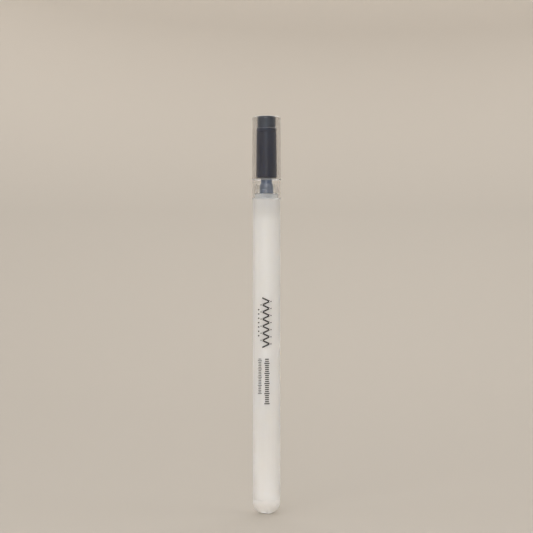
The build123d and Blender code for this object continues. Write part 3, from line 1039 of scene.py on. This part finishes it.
# bold ticks, then fine ticks; every fifth is long
TICK_ROWS = (
    # x, first height, pitch, count, long half, short half, width
    (0.17, 40.0, 0.725, 23, 0.92, 0.68, 0.37),
    (-2.4, 43.6, 0.59, 22, 0.72, 0.5, 0.20),
)
for x, first, pitch, count, long_half, short_half, width in TICK_ROWS:
    for k in range(count):
        z = PRINT_BASE + first + pitch * k
        half = short_half if k % 5 else long_half
        stroke([(x - half, z), (x + half, z)], width)

print_mesh = smooth_mesh("barrel_print", print_verts, print_faces)
print_mesh.set_sharp_from_angle(angle=math.radians(40))
place(print_mesh, "pen", PRINT)


# ----------------------------------------------------------------------- stage
def pale_paper():
    """Fibrous paper, painted paler where the floor turns up into the wall, to make up for the
    less light that reaches the wall.
    """
    k = Look("pale_paper")
    fibre = k.noise(per_mm=(0.9, 0.9, 0.9), detail=4.0, rough=0.6)
    normal_z = k.z_of(k.node("NewGeometry").outputs["Normal"])
    # painted light: the wall gets a paler colour because the lamps light it less than the floor
    painted_wall_light = k.span(normal_z, over=(0.86, 0.5))
    level = k.blend(fibre, (0.408, 0.376, 0.334), (0.426, 0.393, 0.350))
    k.put(
        Base_Color=k.blend(painted_wall_light, level, (0.730, 0.672, 0.598)),
        Roughness=0.9,
        Normal=k.bump(fibre, microns=20, strength=0.15),
        Specular_IOR_Level=0.15,
    )
    return k.mat


def bowl(name, flat, bend, top, segments=160):
    """A floor of radius flat that curves up into a wall all round."""
    chain = [(flat * 0.25, 0.0), (flat * 0.6, 0.0), (flat, 0.0)]
    for k in range(1, 25):
        t = math.pi / 2 * k / 24
        chain.append((flat + bend * math.sin(t), bend * (1 - math.cos(t))))
    chain.append((flat + bend, top))
    verts, faces = [(0.0, 0.0, 0.0)], []
    for r, z in chain:
        for j in range(segments):
            t = 2 * math.pi * j / segments
            verts.append((r * math.cos(t), r * math.sin(t), z))
    for j in range(segments):
        j2 = (j + 1) % segments
        faces.append((0, 1 + j, 1 + j2))
        for i in range(len(chain) - 1):
            a, b = 1 + i * segments, 1 + (i + 1) * segments
            faces.append((a + j, b + j, b + j2, a + j2))
    return add_object(name, smooth_mesh(name, verts, faces))


paper = pale_paper()
floor = bowl("floor", flat=0.50, bend=1.00, top=1.75)
floor.data.materials.append(paper)

scene = bpy.context.scene
world = bpy.data.worlds.new("soft_sky")
world.use_nodes = True
sky = world.node_tree.nodes["Background"]
sky.inputs["Color"].default_value = (0.985, 0.99, 1.0, 1.0)
sky.inputs["Strength"].default_value = 0.92
scene.world = world

LAMPS = (
    # name, place, width, height, watts, colour
    ("key", (-0.44, -1.16, 0.90), 0.8, 0.6, 7.2, (1.0, 0.99, 0.98)),
    ("left", (-0.92, -0.12, 0.62), 0.7, 0.75, 1.25, (0.93, 0.965, 1.0)),
    ("right", (0.92, -0.22, 0.62), 0.7, 0.75, 2.15, (1.0, 0.99, 0.975)),
    ("strip", (0.0, -1.08, 0.48), 0.14, 0.26, 1.95, (1, 1, 1)),
    ("back", (0.10, 0.85, 0.80), 0.9, 0.6, 4.4, (1, 1, 1)),
)
aim = (0, 0, ((CAD_LO + CAD_HI) / 2).z)
for name, spot, width, height, watts, colour in LAMPS:
    light = bpy.data.lights.new(name, "AREA")
    light.shape = "RECTANGLE"
    light.size, light.size_y = width, height
    light.energy = watts
    light.color = colour
    lamp = add_object(name, light)
    lamp.location = spot
    towards = Vector([a - s for a, s in zip(aim, spot)])
    lamp.rotation_mode = "QUATERNION"
    lamp.rotation_quaternion = towards.to_track_quat("-Z", "Y")
    lamp.visible_camera = False

# ---------------------------------------------------------------------- camera
FRAME_MARGIN = 1.08
lens = bpy.data.cameras.new("camera")
lens.lens = 120
lens.sensor_width = 36
lens.clip_start, lens.clip_end = 0.01, 20
camera = add_object("camera", lens)
# the picture has room above the pen for the cap when it is pulled off
tall = CAD_HI.z - CAD_LO.z + joint_travel("cap_pull")
distance = tall * FRAME_MARGIN / 2 / (lens.sensor_width / 2 / lens.lens)
camera.location = (0, -distance, CAD_LO.z + tall / 2)
camera.rotation_euler = (math.pi / 2, 0, 0)
scene.camera = camera

scene.view_settings.view_transform = "Standard"
scene.cycles.max_bounces = 24
scene.cycles.diffuse_bounces = 6
scene.cycles.glossy_bounces = 8
scene.cycles.transmission_bounces = 24
scene.cycles.transparent_max_bounces = 32
scene.cycles.use_denoising = True
